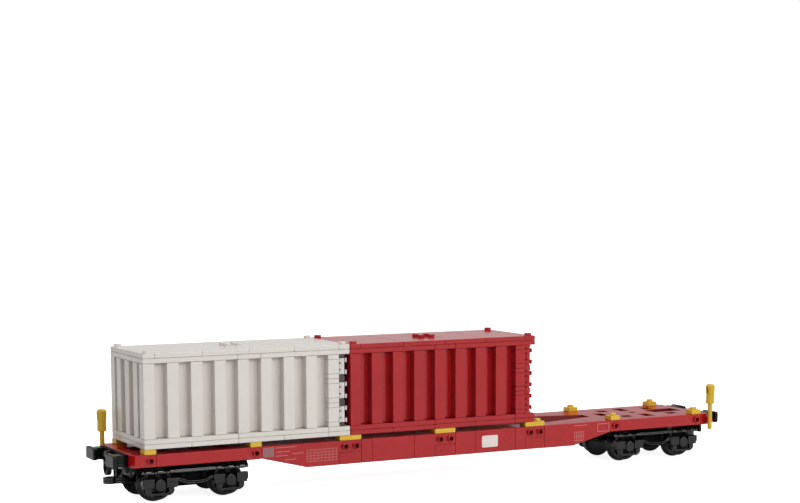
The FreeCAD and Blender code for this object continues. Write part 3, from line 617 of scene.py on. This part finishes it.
def makeFrame():
    # the decks, rails and bolsters keep their shape; the ends, buffers and mounts are made anew
    # painted shade: the deck's finish darkens what lies below its top, in the openings and wells
    for node in ("deck_left", "deck_right", "well_rails"):
        finishNode(node, "deckPlastic")
    # painted shade: the bolsters under the sills are made near black, as the space there is dark
    finishNode("bolsters", "shadeBlack")
    low, high = nodeBox("end_beams")
    end, half, thin, top = high[0], high[1], low[2], high[2]
    start = nodeBox("sill_ends_near")[1][0]
    beams = []
    # the beam's middle and its two corner pieces, each corner with a slanted edge
    inner, (back, aside) = half - frameEnd["corner"], frameEnd["slant"]
    corner = np.array([(start, inner), (end, inner), (end, half - aside), (end - back, half), (start, half)])
    for _, sign in ends:
        beams.append(bricks([*spanOf(sign, start, end), -inner, inner, thin, top]))
        for _, flank in flanks:
            beams.append(slab(corner * (sign, flank), (thin, top), "z"))
    build("endBeams", beams, "redPlastic", "frame", ["end_beams"])

    low, high = nodeBox("buffers")
    reach, half = high[0], frameEnd["shankHalf"]
    layers = [low[2], *(low[2] + rise for rise in frameEnd["shankLayers"]), high[2] - frameEnd["shankGap"]]
    # the head's outline about its middle: three points at each corner, from the side to the top
    wide, tall = frameEnd["headHalf"], (high[2] - low[2]) / 2
    turn = np.array([(wide - aside, tall - down) for aside, down in frameEnd["headCorner"]])
    rim = np.concatenate([turn * (-1, -1), turn[::-1] * (1, -1), turn, turn[::-1] * (-1, 1)])
    heads, plates = [], []
    for _, sign in ends:
        # a plate across the beam carries both buffers; its near-black finish is painted shade, filling the
        # dark gap behind them
        plates.append(bricks([*spanOf(sign, end, end + stud["plate"]), -inner, inner, low[2], high[2]]))
        for _, flank in flanks:
            y = flank * frameEnd["bufferY"]
            for span in zip(layers, layers[1:]):
                shank = [*spanOf(sign, end, reach - frameEnd["shankBack"]), y - half, y + half, *span]
                heads.append(bricks(shank, bevel=0.3, play=0.0))
            # the head: its outline is rounded, and its rim slopes back
            span = spanOf(sign, reach - frameEnd["headLength"], reach)
            heads.append(slab(rim + (y, (low[2] + high[2]) / 2), span, "x", frameEnd["headBevel"]))
    build("bufferHeads", heads, "darkPlastic", "frame", ["buffers"])
    build("bufferShadePlates", plates, "shadeBlack", "frame")

    # mounts: a small block of one or two studs
    low, high = nodeBox("mounts_single")
    cell = stud["pitch"] / 2
    deck, y, top = low[2], high[1] - cell, high[2] - stud["rise"]
    for kind, count, places in (("single", 1, frameEnd["singles"]), ("double", 2, frameEnd["doubles"])):
        mounts = []
        for place in places:
            for _, flank in flanks:
                x = place * stud["pitch"]
                half = count * cell
                mounts.append(bricks([x - half, x + half, flank * y - cell, flank * y + cell, deck, top]))
                steps = [x + (step * 2 - count + 1) * cell for step in range(count)]
                mounts.append(knobs([[at, flank * y, 0] for at in steps], top))
        build(f"{kind}Mounts", mounts, "yellowPlastic", "frame", [f"mounts_{kind}"])


makeFrame()
finishNode("pole_clips", "redPlastic")
print("frame ends and mounts")


# how far a link's peg ends before its face, and the thickness and width of the plates under the beams
link = dict(pegSet=0.3, guard=(2, 16))


def makeLinks():
    # a link is a plate with a round top, an open ring below and a peg through the top
    low, high = nodeBox("coupling_links")
    half, far = high[1], high[0]
    near, upper, lower = far - stud["plate"], high[2] - half, low[2] + half
    hole, peg = stud["radius"], nodeBox("end_beams")[1][0]
    parts = []
    for _, sign in ends:
        span = spanOf(sign, near, far)
        arc = np.linspace(0, math.pi, 13)
        mouth = np.stack([hole * np.cos(arc), lower + hole * np.sin(arc)], axis=-1)
        middle = np.concatenate([[(-half, lower), (-half, upper), (half, upper), (half, lower)], mouth])
        parts.append(slab(middle, span, "x", bevel=0.02))
        parts.append(ringWall(half, hole, span, [0, 0, lower], "x"))
        parts.append(lathe(rounded(half, *span), [0, 0, upper], "x", 32))
        parts.append(lathe(rounded(hole, *spanOf(sign, peg, far - link["pegSet"])), [0, 0, upper], "x"))
    build("couplingLinks", parts, "darkPlastic", "frame", ["coupling_links"])
    low, high = nodeBox("beam_guards")
    guards, (thick, wide) = [], link["guard"]
    for _, sign in ends:
        for _, flank in flanks:
            guard = [*spanOf(sign, high[0] - thick, high[0]), *spanOf(flank, high[1] - wide, high[1])]
            guards.append(bricks([*guard, low[2], high[2]], bevel=0.3))
    build("beamGuards", guards, "darkPlastic", "frame", ["beam_guards"])


# height under the top and radius of a pole: a stick, and a head that is a little wider above a step
pole = dict(outline=[(33.6, 1.2), (33.2, 1.6), (14.9, 1.6), (14.6, 2.7), (14.2, 3.08), (7.9, 3.1),
                     (7.7, 2.95), (7.2, 2.95), (6.9, 3.3), (2.4, 3.44), (1.5, 3.36), (0.8, 3.0), (0.3, 2.4),
                     (0.06, 1.6), (0.0, 0.6)],
            radius=3.45, slotMiddle=4.5, slotReach=1.3, slotHalf=1.15, slotDepth=2.0, slotSoft=0.24,
            narrow=0.12, core=2.0, coreRise=0.9, around=64)


def makePoles():
    # the radius at an angle and a height is the outline's, less a little on the head's two sides along the
    # wagon, and less the slot's depth where the distance to an upright line is under the slot's half width
    high = nodeBox("poles")[1]
    profile = np.array(pole["outline"])[::-1] * (-1, 1)
    fine = -np.arange(pole["slotMiddle"] - 3.0, pole["slotMiddle"] + 3.0, 0.15)
    drop = np.unique(np.concatenate([profile[:, 0], fine]))
    order = np.argsort(profile[:, 0])
    around = np.arange(pole["around"]) * 2 * math.pi / pole["around"]
    plain = np.interp(drop, profile[order, 0], profile[order, 1])[:, None] + 0 * around
    head = np.clip((drop[:, None] + 14) / 2, 0, 1)
    plain = plain - pole["narrow"] * head * np.cos(around) ** 2
    across = plain * np.sin(around)
    beyond = np.maximum(abs(drop[:, None] + pole["slotMiddle"]) - pole["slotReach"], 0)
    soft = pole["slotSoft"]
    near = np.clip((pole["slotHalf"] + soft / 2 - np.hypot(across, beyond)) / soft, 0, 1)
    reach = plain - pole["slotDepth"] * near
    parts, slotShades = [], []
    for _, sign in ends:
        x, y = sign * (high[0] - pole["radius"]), -sign * (high[1] - pole["radius"])
        half, z = pole["slotHalf"], high[2] - pole["slotMiddle"]
        tall = pole["slotReach"] + pole["coreRise"]
        # painted shade: a dark olive block inside each head shows in its slot as the shade within it
        slotShades.append(bricks([x - pole["core"], x + pole["core"], y - half, y + half, z - tall, z + tall]))
        levels = high[2] + drop[:, None] + 0 * reach
        rings = np.stack([x + reach * np.cos(around), y + reach * np.sin(around), levels], axis=-1)
        parts.append(skinRings(rings[None]))
    build("signalPoles", parts, "shadedPoleYellow", "frame", ["poles"])
    build("poleSlotShades", slotShades, "slotShade", "frame")


makeLinks()
makePoles()
print("links, guards and poles")

# in mm: outlines are along the bogie and up from the axle, or from the bogie's centre for the trusses; spans
# across are from the middle line; the rod is its place across, height and radius, a band its span and radius
bogie = dict(axle=24.0, rail=(23.6, 24.2), railRise=(7.2, 8.4), railHalf=36, post=(6.0, 8.4, 0.6),
             block=[(4.0, -1.8), (4.0, 4.4), (12.0, 4.4), (12.0, 0.4), (11.2, -0.4), (11.2, -1.8)],
             yoke=[(-9.4, -1.8), (-9.4, -4.2), (-8.5, -5.7), (-6.4, -6.8), (6.4, -6.8), (8.5, -5.7),
                   (9.4, -4.2), (9.4, -1.8), (5.6, -1.8), (5.6, -5.0), (-5.6, -5.0), (-5.6, -1.8)],
             yokeAcross=(24.6, 27.2),
             box=[(-3.7, -1.9), (-1.9, -3.9), (1.9, -3.9), (3.7, -1.9), (3.7, 1.5), (2.6, 3.2), (0.5, 4.5),
                  (-0.5, 4.5), (-2.6, 3.2), (-3.7, 1.5)],
             boxProud=0.4,
             truss=[(-12, 4.4), (-5.6, 1.7), (5.6, 1.7), (12, 4.4), (12, 2.5), (5.6, -0.2), (-5.6, -0.2),
                    (-12, 2.5)],
             web=[(-12, 3.9), (-5.6, 1.2), (5.6, 1.2), (12, 3.9), (12, 3.0), (5.6, 0.3), (-5.6, 0.3),
                  (-12, 3.0)],
             trussAcross=(24.4, 27.4), trussEdge=0.7, webSet=1.4,
             rod=(26.2, 8.9, 0.85), rodMiddle=14.0, rodEnd=36.3, core=(8.0, 0.9), bandRise=8.5,
             bands=[(14.2, 17.8, 1.6), (19.6, 20.4, 1.45), (22.1, 26.0, 1.6), (27.2, 28.0, 1.5),
                    (30.1, 33.9, 1.6), (34.9, 36.4, 1.4)])
# half sizes of the plate's spine, bolster and keel, its rounded end plates, and its ears at the ends
centrePlate = dict(spine=(34, 13), bolster=(8, 23.6), keel=(10.4, 20), ending=(31.6, 37.6), corner=2.9,
                   ear=(28, 34.5), earAcross=(22.8, 26.4), earDrop=0.4)
# a drawbar: its layers, the hole in its ring, its hanger, and a pin's radius, place behind the ring and top
drawbar = dict(layer=2, ring=2.4, ringSet=0.04, barEnd=2.35, hanger=3.2, pin=(1.65, 4.1, 10.4), pinFoot=3.8)


def makeBogies():
    low, high = nodeBox("axle_left_outer")
    axleZ = (low[2] + high[2]) / 2
    for end, sign in ends:
        body = f"bogie_{end}"
        low, high = nodeBox(f"{body}_sides")
        middle, back, face = (low[0] + high[0]) / 2, bogie["rail"][0], high[1]
        plateLow, plateHigh = nodeBox(f"{body}_plate")
        shift = np.array([middle, axleZ])

        # side frames: a block on both sides of each axle, yokes under them, a rail and posts behind the rods
        sides, rails, boxes, webs, trusses, rods = [], [], [], [], [], []
        for _, flank in flanks:
            rail = spanOf(flank, *bogie["rail"])
            half, (under, over) = bogie["railHalf"], bogie["railRise"]
            # painted shade: the rail and posts behind the rods are near black with no gloss, standing for the
            # dark space there
            rails.append(bricks([middle - half, middle + half, *rail, axleZ + under, axleZ + over]))
            first, last, foot = bogie["post"]
            for way in (-1, 1):
                along = sorted((middle + way * first, middle + way * last))
                rails.append(bricks([*along, *rail, axleZ + foot, plateHigh[2]]))
            for axle in (-1, 1):
                at = np.array([middle + axle * bogie["axle"], axleZ])
                for way in (-1, 1):
                    outline = np.array(bogie["block"]) * (way, 1) + at
                    sides.append(slab(outline, spanOf(flank, back, face), bevel=0.35))
                across = spanOf(flank, *bogie["yokeAcross"])
                sides.append(slab(np.array(bogie["yoke"]) + at, across, bevel=0.3))
                across = spanOf(flank, back, face + bogie["boxProud"])
                boxes.append(slab(np.array(bogie["box"]) + at, across, bevel=0.8))
            # the truss: two bowed edge strips that stand out from a web
            edge, across = bogie["trussEdge"], bogie["trussAcross"]
            outline = np.array(bogie["truss"])
            for strip in (np.concatenate([outline[:4], outline[3::-1] - (0, edge)]),
                          np.concatenate([outline[:3:-1] + (0, edge), outline[4:]])):
                trusses.append(slab(strip + shift, spanOf(flank, *across), bevel=0.25))
            # painted shade: the web behind the strips is near black with no gloss, for the dark space behind
            # the truss
            span = spanOf(flank, across[0], across[1] - bogie["webSet"])
            webs.append(slab(np.array(bogie["web"]) + shift, span, bevel=0.2))
            # the rod: a bar in the middle, a longer one a little lower, and bands at both ends
            across, rise, radius = bogie["rod"]
            bars = ((bogie["rodMiddle"], rise, radius), (bogie["rodEnd"], *bogie["core"]))
            for half, above, size in bars:
                line = rounded(size, middle - half, middle + half, 0.4)
                rods.append(lathe(line, [0, flank * across, axleZ + above], "x"))
            for first, last, size in bogie["bands"]:
                for way in (-1, 1):
                    line = rounded(size, *sorted((middle + way * first, middle + way * last)), 0.35)
                    rods.append(lathe(line, [0, flank * across, axleZ + bogie["bandRise"]], "x"))
        build(f"sideFrames_{end}", sides, "blackPlastic", body, [f"{body}_sides"])
        build(f"sideRails_{end}", rails, "shadeBlack", body)
        build(f"trussWebs_{end}", webs, "shadeBlack", body)
        build(f"axleBoxes_{end}", boxes, "blackPlastic", body, [f"{body}_axle_boxes"])
        build(f"trusses_{end}", trusses, "glossBlack", body, [f"{body}_trusses"])
        build(f"rods_{end}", rods, "glossBlack", body, [f"{body}_rods"])

        # centre plate: spine, bolster, keel and a rounded plate and two ears at each end
        keel, under, top = plateLow[2], plateHigh[2] - stud["plate"], plateHigh[2]
        plate = []
        for name, span in (("spine", (under, top)), ("bolster", (under, top)), ("keel", (keel, under))):
            half, aside = centrePlate[name]
            plate.append(bricks([middle - half, middle + half, -aside, aside, *span]))
        spineEnd = centrePlate["spine"][0]
        for way in (-1, 1):
            x0, x1 = sorted(middle + way * reach for reach in centrePlate["ending"])
            outline = roundedOutline(x0, x1, plateLow[1], plateHigh[1], centrePlate["corner"])
            outline[:, 0] = np.maximum(outline[:, 0] * way, middle * way + spineEnd) * way
            keep = np.append(True, np.linalg.norm(np.diff(outline, axis=0), axis=1) > 0.01)
            plate.append(slab(outline[keep], (under, top), "z", bevel=0.35))
            for _, flank in flanks:
                ear = [*sorted(middle + way * reach for reach in centrePlate["ear"]),
                       *spanOf(flank, *centrePlate["earAcross"])]
                plate.append(bricks([*ear, under + centrePlate["earDrop"], top]))
        # painted shade: the plate is near black with no gloss, standing for the shade under the sills
        build(f"centrePlate_{end}", plate, "shadeBlack", body, [f"{body}_plate"])

        # drawbar: two flat layers with a ring at the end, hung from the plate by a block
        low, high = nodeBox(f"{body}_drawbar")
        half = high[1]
        near, far = sorted((abs(low[0]), abs(high[0])))
        layer, gap, bar = drawbar["layer"], drawbar["ringSet"], []
        for z0, z1 in ((low[2], low[2] + layer), (low[2] + layer, low[2] + 2 * layer)):
            bar.append(bricks([*spanOf(sign, near, far - half - drawbar["barEnd"]), -half, half, z0, z1]))
            centre = [sign * (far - half), 0, 0]
            bar.append(ringWall(half, drawbar["ring"], (z0 + gap, z1 - gap), centre, "z", 0.15, 40))
        hanger = spanOf(sign, near, near + drawbar["hanger"])
        bar.append(bricks([*hanger, -half, half, low[2] + 2 * layer, high[2]]))
        # an upright pin stands on the bar behind the ring
        radius, behind, rise = drawbar["pin"]
        line = rounded(radius, low[2] + drawbar["pinFoot"], low[2] + rise)
        bar.append(lathe(line, [sign * (far - half - behind), 0, 0]))
        build(f"drawbar_{end}", bar, "blackPlastic", body, [f"{body}_drawbar"])


makeBogies()

# radii of a wheel, its inner face from the middle line, and the depths of its dish and of the hub's rise
wheel = dict(flange=12.0, tread=10.4, rim=8.6, hub=3.4, bore=1.65, inner=13.6, dish=1.5, hubRise=0.2)


def makeWheels():
    keys = ("flange", "tread", "rim", "hub", "bore", "inner")
    flange, tread, rim, hub, bore, inner = (wheel[key] for key in keys)
    for name in ("left_outer", "left_inner", "right_inner", "right_outer"):
        finishNode(f"axle_{name}", "axleSteel")
        low, high = nodeBox(f"wheels_{name}")
        centre = (low + high) / 2
        face = high[1] - wheel["hubRise"]
        floor = face - wheel["dish"]
        parts = []
        for _, flank in flanks:
            # bore, flange with a rounded rim, tread, sloped dish and raised hub, turned about the axle
            profile = [(bore, inner), (flange - 0.5, inner), (flange, inner + 0.5), (flange, inner + 1.2),
                       (flange - 0.5, inner + 1.8), (tread + 0.2, inner + 2.5), (tread, inner + 3.2),
                       (tread, face - 0.3), (tread - 0.3, face), (rim, face), (rim - 0.5, face - 0.7),
                       (rim - 1.4, floor), (hub + 0.6, floor), (hub, face - 0.4),
                       (hub - 0.2, high[1]), (bore, high[1])]
            profile = [(radius, flank * at) for radius, at in profile]
            parts.append(lathe(profile, [centre[0], 0, centre[2]], "y", 48, looped=True))
        build(f"wheelPair_{name}", parts, "wheelPlastic", f"wheelset_{name}",
              [f"wheels_{name}"])


makeWheels()
print("bogies and wheels")

# in mm from the container's middle, from its sill or across: seams of the layers, ribs and thicknesses
crate = dict(door=64, half=72, inner=24.0, ribs=7, skin=1.6, wallEnd=7.8, endSkin=1.4,
             postLayers=(0, 3.2, 12.8, 16, 19.2, 28.8, 32, 35.2, 44.8, 48), tileSeams=(-64, -32, 0, 32, 64),
             railSeams=(-72, -8, 8, 72), lowSeams=(-72, -40, -8, 24, 56, 72), highSeams=(-72, -8, 56, 72),
             endRibs=((-20, -12), (-4, 4), (12, 20)))
# a hinge from the doorway and the middle line: the bar, its arms, and the barrels, roots and tabs on a leaf
hinge = dict(x=2.9, y=29.1, bar=1.6, arms=4, armRise=4.6, armReach=4, armCut=0.9, armAcross=(26.6, 31.8),
             knuckle=1.55, barrelHalf=5.4, barrelOut=0.75, root=(0.3, 1.75), rootAcross=(-1.4, 2.2),
             rootBands=((-5.5, -2.65), (-1.75, 1.75), (2.65, 5.5)), tab=(4.75, 6.0),
             tabAcross=(28.05, 30.9), tabHalf=1.5, tabPlace=4, neck=(2.9, 5.2), neckAcross=(28.4, 29.6),
             neckHalf=1.2)
# a door leaf: its board's depth, the edges of its columns across, and the strips beside the barrels
leafBoard = dict(depth=(0.3, 3.5), columns=(0.4, 8.4, 16.4, 24.6), gap=0.4, stripInner=23.6, stripGap=1.2,
                 stripHalf=5.5)


def makeDoors(name, finish, door, sillTop, head):
    # hinge bars: an upright bar with an eight-sided arm at every second stud of height
    body = f"container_{name}"
    pitch = 2 * stud["pitch"]
    bars = []
    for _, flank in flanks:
        bars.append(lathe(rounded(hinge["bar"], sillTop, head, 0.1),
                          [door + hinge["x"], flank * hinge["y"], 0], "z"))
        for step in range(hinge["arms"]):
            half, cut, reach = hinge["armRise"] / 2, hinge["armCut"], hinge["armReach"]
            outline = np.array([(0, cut - half), (cut, -half), (reach - cut, -half), (reach, cut - half),
                                (reach, half - cut), (reach - cut, half), (cut, half), (0, half - cut)])
            outline = outline + (door, sillTop + step * pitch)
            outline[:, 1] = np.clip(outline[:, 1], sillTop, head)
            keep = np.linalg.norm(outline - np.roll(outline, 1, axis=0), axis=1) > 0.01
            bars.append(slab(outline[keep], spanOf(flank, *hinge["armAcross"]), bevel=0.2))
    grey = name == "grey"
    build(f"{name}HingeBars", bars, "hingeGrey" if grey else finish, body,
          [f"{body}_hinge_bars"])

    def ahead(span):
        return [door + depth for depth in span]

    for flankName, flank in flanks:
        board = ahead(leafBoard["depth"])
        strip = spanOf(flank, leafBoard["stripInner"], hinge["y"] - leafBoard["stripGap"])
        root = spanOf(flank, *(hinge["y"] + aside for aside in hinge["rootAcross"]))
        leaf = []
        # the leaf: three columns of smooth pieces, with a seam at a third and two thirds of the height
        columns, gap = leafBoard["columns"], leafBoard["gap"]
        rows = np.linspace(sillTop + gap, head - gap, 4)
        for y0, y1 in zip(columns, columns[1:]):
            leaf.append(bricks([[*board, *spanOf(flank, y0, y1), z0, z1] for z0, z1 in zip(rows, rows[1:])]))
        for step in range(hinge["arms"] - 1):
            middle = sillTop + stud["pitch"] + pitch * step
            half = leafBoard["stripHalf"]
            leaf.append(bricks([*board, *strip, middle - half, middle + half]))
            # the barrel round the bar, the banded root beside it, and two tabs that stand off it on necks
            half = hinge["barrelHalf"]
            leaf.append(lathe(rounded(hinge["knuckle"], middle - half, middle + half),
                              [door + hinge["x"], flank * (hinge["y"] + hinge["barrelOut"]), 0], "z"))
            for z0, z1 in hinge["rootBands"]:
                leaf.append(bricks([*ahead(hinge["root"]), *root, middle + z0, middle + z1]))
            for z in (middle - hinge["tabPlace"], middle + hinge["tabPlace"]):
                for part in ("tab", "neck"):
                    half, across = hinge[f"{part}Half"], spanOf(flank, *hinge[f"{part}Across"])
                    leaf.append(bricks([*ahead(hinge[part]), *across, z - half, z + half]))
        build(f"{name}Door_{flankName}", leaf, finish, f"door_{name}_{flankName}",
              [f"{body}_door_{flankName}"])


def makeContainer(name, finish):
    body = f"container_{name}"
    low, high = nodeBox(f"{body}_base")
    centre = (low[0] + high[0]) / 2
    floor, sillTop = low[2], high[2]
    roofLow, roofHigh = nodeBox(f"{body}_roof")
    head, top = roofLow[2], roofHigh[2] - stud["rise"]
    left, right, edge = low[0], high[0], high[1]
    door, inner = centre + crate["door"], crate["inner"]
    pitch, thin = stud["pitch"], stud["plate"]

    def at(seam):
        return min(max(centre + seam, left), right)

    # base: two layers of long pieces, their seams at different places
    base = []
    layers = ((crate["lowSeams"], (floor, floor + thin)), (crate["highSeams"], (floor + thin, sillTop)))
    for seams, z in layers:
        for one, two in zip(seams, seams[1:]):
            base.append(bricks([at(one), at(two), -edge, edge, *z]))
    # painted shade: the finish darkens the base's bottom, over the gap above the deck
    build(f"{name}Base", base, finish, body, [f"{body}_base"])

    # roof: a layer of rails, then tiles in four rows, a corner block with a stud at each corner
    roof = []
    for one, two in zip(crate["railSeams"], crate["railSeams"][1:]):
        roof.append(bricks([at(one), at(two), -edge, edge, head, head + thin]))
    tile = (head + thin, top)
    for side in (-1, 1):
        x = sorted((at(side * crate["half"]), at(side * crate["door"])))
        roof.append(bricks([*x, -inner, inner, *tile]))
        for _, flank in flanks:
            roof.append(bricks([*x, *spanOf(flank, inner, edge), *tile]))
            stick = (crate["door"] + pitch / 2, inner + pitch / 2)
            roof.append(knobs([centre + side * stick[0], flank * stick[1], 0], top))
    seams = crate["tileSeams"]
    rows = [(-edge, -2 * pitch), (-2 * pitch, 0), (0, 2 * pitch), (2 * pitch, edge)]
    for row, (y0, y1) in enumerate(rows):
        for one, two in zip(seams, seams[1:]):
            x0, x1 = at(one), at(two)
            if row in (1, 2) and one == 0:
                x0 += pitch
            if row in (1, 2) and two == 0:
                x1 -= pitch
            roof.append(bricks([x0, x1, y0, y1, *tile]))
    # in the middle of the roof: a plate of four studs between two short tiles
    for y0, y1 in ((-2 * pitch, -pitch), (pitch, 2 * pitch), (-pitch, pitch)):
        roof.append(bricks([centre - pitch, centre + pitch, y0, y1, *tile]))
    cell = pitch / 2
    middle = [[centre - cell, -cell, 0], [centre + cell, -cell, 0], [centre - cell, cell, 0],
              [centre + cell, cell, 0]]
    roof.append(knobs(middle, top))
    build(f"{name}Roof", roof, finish, body, [f"{body}_roof"])

    # long walls: a thin skin, a corner post, ribs at every second stud and a door post of many layers
    for flank, sign in flanks:
        across = spanOf(sign, inner, edge)
        wall = [bricks([left, door, *spanOf(sign, inner, inner + crate["skin"]), sillTop, head], play=0.0),
                bricks([left, left + crate["wallEnd"], *across, sillTop, head])]
        for rib in range(crate["ribs"]):
            x = centre - crate["half"] + (2 + 2 * rib) * pitch
            wall.append(bricks([x, x + pitch, *across, sillTop, head]))
        layers = crate["postLayers"]
        for one, two in zip(layers, layers[1:]):
            wall.append(bricks([door - pitch, door, *across, sillTop + one, sillTop + two], bevel=0.18))
        build(f"{name}Wall_{flank}", wall, finish, body, [f"{body}_wall_{flank}"])

    # the end wall: a skin with ribs in front of it
    thick = left + crate["wallEnd"]
    back = [bricks([thick - crate["endSkin"], thick, -inner, inner, sillTop, head], play=0.0)]
    for y0, y1 in crate["endRibs"]:
        back.append(bricks([left, thick, y0, y1, sillTop, head]))
    build(f"{name}EndWall", back, finish, body, [f"{body}_end_wall"])

    makeDoors(name, finish, door, sillTop, head)


makeContainer("grey", "greyPlastic")
makeContainer("red", "boxRed")
print("containers")
